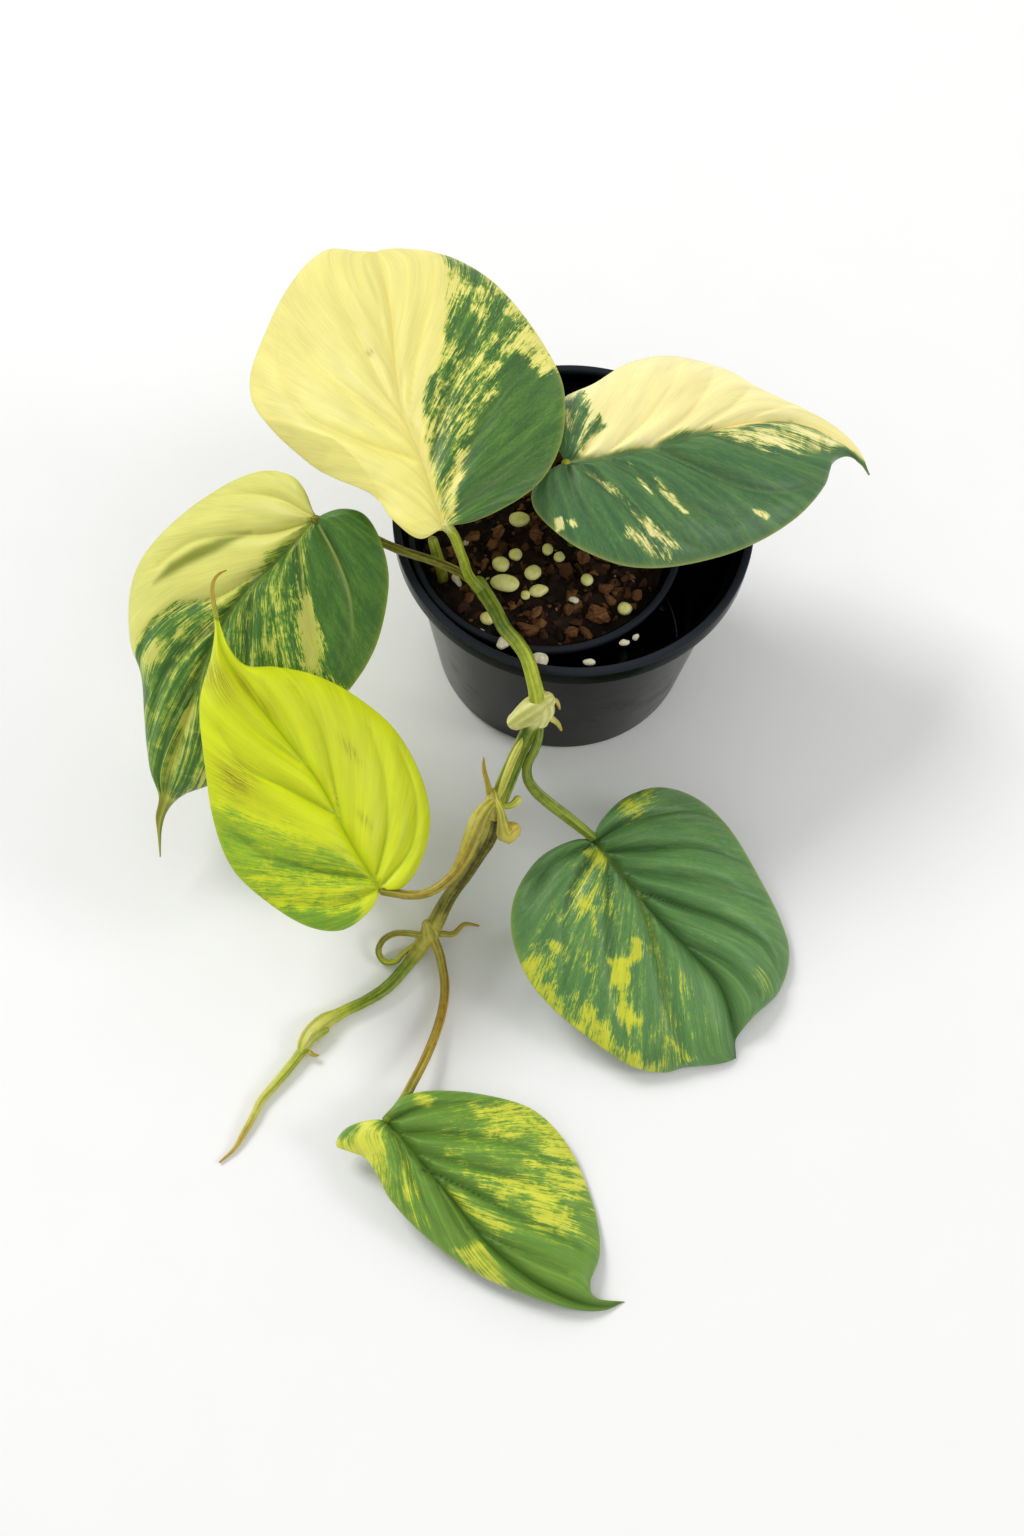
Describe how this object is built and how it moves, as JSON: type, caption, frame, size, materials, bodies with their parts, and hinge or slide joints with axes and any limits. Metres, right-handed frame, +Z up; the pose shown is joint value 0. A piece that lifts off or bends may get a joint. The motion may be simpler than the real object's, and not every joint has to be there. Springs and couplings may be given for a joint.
{
  "type": "potted philodendron",
  "caption": "Trailing variegated philodendron in a nursery pot that stands inside a larger one, its vine hanging over the rim and lying along the surface.",
  "frame": {"origin": "centre of the outer pot's base, on the surface it stands on", "axes": "+Z up; -Y is the side where the vine hangs over the rim and trails away; +X is to the right seen from there"},
  "size_m": [0.2148, 0.2815, 0.115],
  "materials": {
    "outer_pot_plastic": "satin black moulded plastic with light scuffs",
    "inner_pot_plastic": "satin black moulded plastic, dusty",
    "potting_mix": "damp crumbly bark and peat",
    "bark": "rough broken reddish bark",
    "pellet": "smooth coated fertiliser prill",
    "pumice": "porous pale stone",
    "vine": "waxy green stem with pale striations",
    "young_shoot": "smooth lime green turning tan at the point",
    "old_stem": "pale corky cut stem",
    "petiole": "smooth olive green",
    "sheath": "dry papery sheath",
    "aerial_root": "matt tan root",
    "leaf_a": "satin leaf, cream with green marbling on one half",
    "leaf_b": "satin leaf, green with cream and yellow streaks",
    "leaf_c": "satin leaf, cream upper half and blue-green lower half",
    "leaf_d": "satin leaf, deep green with a few yellow patches",
    "leaf_e": "satin leaf, chartreuse with green streaks",
    "leaf_f": "satin leaf, green with yellow-green patches"
  },
  "bodies": {
    "root": {"outer_pot": "outer_pot_plastic", "inner_pot": "inner_pot_plastic", "potting_mix": "potting_mix", "bark_chip_1": "bark", "bark_chip_2": "bark", "bark_chip_3": "bark", "bark_chip_4": "bark", "bark_chip_5": "bark", "bark_chip_6": "bark", "bark_chip_7": "bark", "bark_chip_8": "bark", "bark_chip_9": "bark", "bark_chip_10": "bark", "bark_chip_11": "bark", "pellet_1": "pellet", "pellet_2": "pellet", "pellet_3": "pellet", "pellet_4": "pellet", "pellet_5": "pellet", "pellet_6": "pellet", "pellet_7": "pellet", "pellet_8": "pellet", "pellet_9": "pellet", "pellet_10": "pellet", "pellet_11": "pellet", "pellet_12": "pellet", "pumice_lump": "pumice", "vine": "vine", "growing_tip": "young_shoot", "old_stem": "old_stem", "petiole_a": "petiole", "petiole_b": "petiole", "petiole_c": "petiole", "petiole_d": "petiole", "petiole_e": "petiole", "petiole_f": "petiole", "torn_sheath": "sheath", "curled_sheath": "sheath", "hook_root_upper": "aerial_root", "hook_root_lower": "aerial_root", "spike_root": "aerial_root", "side_root": "aerial_root", "looped_root": "aerial_root", "spur_root": "aerial_root", "leaf_a": "leaf_a", "leaf_b": "leaf_b", "leaf_c": "leaf_c", "leaf_d": "leaf_d", "leaf_e": "leaf_e", "leaf_f": "leaf_f"}
  },
  "joints": []
}
